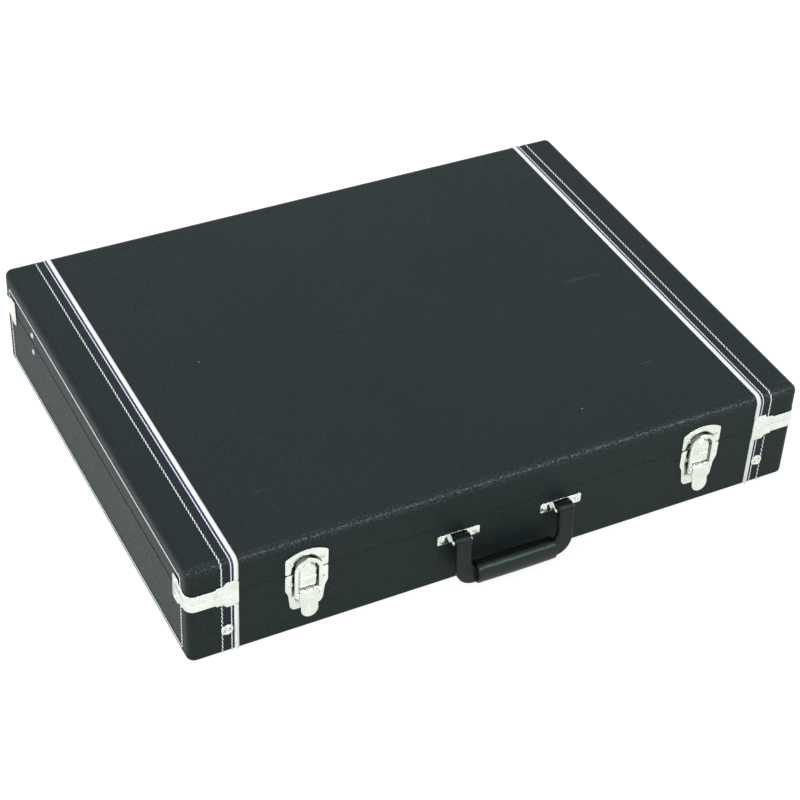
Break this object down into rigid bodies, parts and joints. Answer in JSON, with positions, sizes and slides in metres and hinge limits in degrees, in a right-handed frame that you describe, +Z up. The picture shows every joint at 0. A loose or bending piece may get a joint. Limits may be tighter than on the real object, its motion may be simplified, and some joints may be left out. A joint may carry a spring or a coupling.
{
  "type": "multi-guitar flight case",
  "caption": "Flat oblong vinyl-covered case with hinged lid, draw latches, carrying handle, lid stays and a swinging neck rest inside for guitars.",
  "frame": {"origin": "centre of the case's underside, in the plane it rests on", "axes": "+X along the length, +Y from the handle side to the hinge side, +Z up out of the lid"},
  "size_m": [0.8658, 0.7034, 0.1492],
  "materials": {
    "plywood": "raw birch plywood",
    "vinyl_main": "black grained vinyl, satin",
    "vinyl_band": "black grained vinyl, satin",
    "vinyl_end": "black grained vinyl, satin",
    "piping_white": "soft white welt",
    "lip_black": "black, smooth",
    "plush": "short black plush",
    "plush_pad": "plush over foam",
    "carpeted_ply": "plywood covered in black felt",
    "nickel": "bright nickel plate",
    "stay_steel": "zinc-plated steel strip",
    "handle_black": "moulded, satin black",
    "grip_black": "padded grip, satin black",
    "foot_rubber": "moulded, matt"
  },
  "bodies": {
    "base": {"base_bottom_panel": "plywood", "base_front_board": "plywood", "base_back_board": "plywood", "base_left_board": "plywood", "base_right_board": "plywood", "base_bottom_sheet": "vinyl_main", "base_cover": "vinyl_main", "base_band_left": "vinyl_band", "base_band_right": "vinyl_band", "base_end_panels": "vinyl_end", "base_piping_left": "piping_white", "base_piping_right": "piping_white", "rim_lip": "lip_black", "base_wall_lining": "plush", "base_floor_pad": "plush_pad", "body_rest_front": "carpeted_ply", "body_rest_back": "carpeted_ply", "corner_brackets_base": "nickel", "bracket_rivets_base": "nickel", "handle_plates": "nickel", "latch_plates": "nickel", "screws_base": "nickel", "cup_washers": "nickel", "cup_screws": "nickel", "hinge_leaves_base": "nickel", "feet_base": "foot_rubber", "stay_rivets_base": "nickel"},
    "lid": {"lid_top_panel": "plywood", "lid_front_board": "plywood", "lid_back_board": "plywood", "lid_left_board": "plywood", "lid_right_board": "plywood", "lid_cover": "vinyl_main", "lid_band_left": "vinyl_band", "lid_band_right": "vinyl_band", "lid_end_panels": "vinyl_end", "lid_piping_left": "piping_white", "lid_piping_right": "piping_white", "lid_wall_lining": "plush", "lid_pad": "plush_pad", "corner_brackets_lid": "nickel", "bracket_rivets_lid": "nickel", "latch_strikes": "nickel", "screws_lid": "nickel", "hinge_leaves_lid": "nickel", "feet_lid": "foot_rubber", "stay_rivets_lid": "nickel", "neck_rest_brackets": "nickel"},
    "neck_rest": {"neck_rest_board": "carpeted_ply", "neck_rest_pad": "plush_pad"},
    "lever_left": {"latch_lever_left": "nickel"},
    "lever_right": {"latch_lever_right": "nickel"},
    "bail_left": {"latch_bail_left": "nickel"},
    "bail_right": {"latch_bail_right": "nickel"},
    "handle": {"handle_core": "handle_black", "handle_grip": "grip_black"},
    "stay_lower_left": {"stay_lower_left": "stay_steel"},
    "stay_lower_right": {"stay_lower_right": "stay_steel"},
    "stay_upper_left": {"stay_upper_left": "stay_steel"},
    "stay_upper_right": {"stay_upper_right": "stay_steel"}
  },
  "joints": [
    {"name": "lid_hinge", "type": "hinge", "parent": "base", "child": "lid", "pos_m": [0, 0.3346, 0.096], "axis": [-1, 0, 0], "range_deg": [0, 100]},
    {"name": "neck_rest_swing", "type": "hinge", "parent": "lid", "child": "neck_rest", "pos_m": [0, -0.285, 0.1216], "axis": [-1, 0, 0], "range_deg": [0, 90]},
    {"name": "handle_swing", "type": "hinge", "parent": "base", "child": "handle", "pos_m": [0.003, -0.3412, 0.0725], "axis": [-1, 0, 0], "range_deg": [0, 100]},
    {"name": "stay_lower_left_pivot", "type": "hinge", "parent": "base", "child": "stay_lower_left", "pos_m": [-0.415, 0.2176, 0.082], "axis": [-1, 0, 0], "range_deg": [0, 100]},
    {"name": "stay_upper_left_pivot", "type": "hinge", "parent": "lid", "child": "stay_upper_left", "pos_m": [-0.412, 0.2176, 0.11], "axis": [-1, 0, 0], "range_deg": [-100, 0]},
    {"name": "lever_left_pivot", "type": "hinge", "parent": "base", "child": "lever_left", "pos_m": [-0.277, -0.337, 0.0675], "axis": [-1, 0, 0], "range_deg": [0, 120]},
    {"name": "bail_left_pivot", "type": "hinge", "parent": "lever_left", "child": "bail_left", "pos_m": [-0.277, -0.3376, 0.0606], "axis": [-1, 0, 0], "range_deg": [-144, 0]},
    {"name": "stay_lower_right_pivot", "type": "hinge", "parent": "base", "child": "stay_lower_right", "pos_m": [0.415, 0.2176, 0.082], "axis": [-1, 0, 0], "range_deg": [0, 100]},
    {"name": "stay_upper_right_pivot", "type": "hinge", "parent": "lid", "child": "stay_upper_right", "pos_m": [0.412, 0.2176, 0.11], "axis": [-1, 0, 0], "range_deg": [-100, 0]},
    {"name": "lever_right_pivot", "type": "hinge", "parent": "base", "child": "lever_right", "pos_m": [0.283, -0.337, 0.0675], "axis": [-1, 0, 0], "range_deg": [0, 120]},
    {"name": "bail_right_pivot", "type": "hinge", "parent": "lever_right", "child": "bail_right", "pos_m": [0.283, -0.3376, 0.0606], "axis": [-1, 0, 0], "range_deg": [-144, 0]}
  ],
  "couplings": [
    {"joint": "neck_rest_swing", "follows": "lid_hinge", "ratio": 0.9},
    {"joint": "stay_lower_left_pivot", "follows": "lid_hinge", "ratio": 1},
    {"joint": "stay_upper_left_pivot", "follows": "lid_hinge", "ratio": -1},
    {"joint": "bail_left_pivot", "follows": "lever_left_pivot", "ratio": -1.2},
    {"joint": "stay_lower_right_pivot", "follows": "lid_hinge", "ratio": 1},
    {"joint": "stay_upper_right_pivot", "follows": "lid_hinge", "ratio": -1},
    {"joint": "bail_right_pivot", "follows": "lever_right_pivot", "ratio": -1.2}
  ]
}
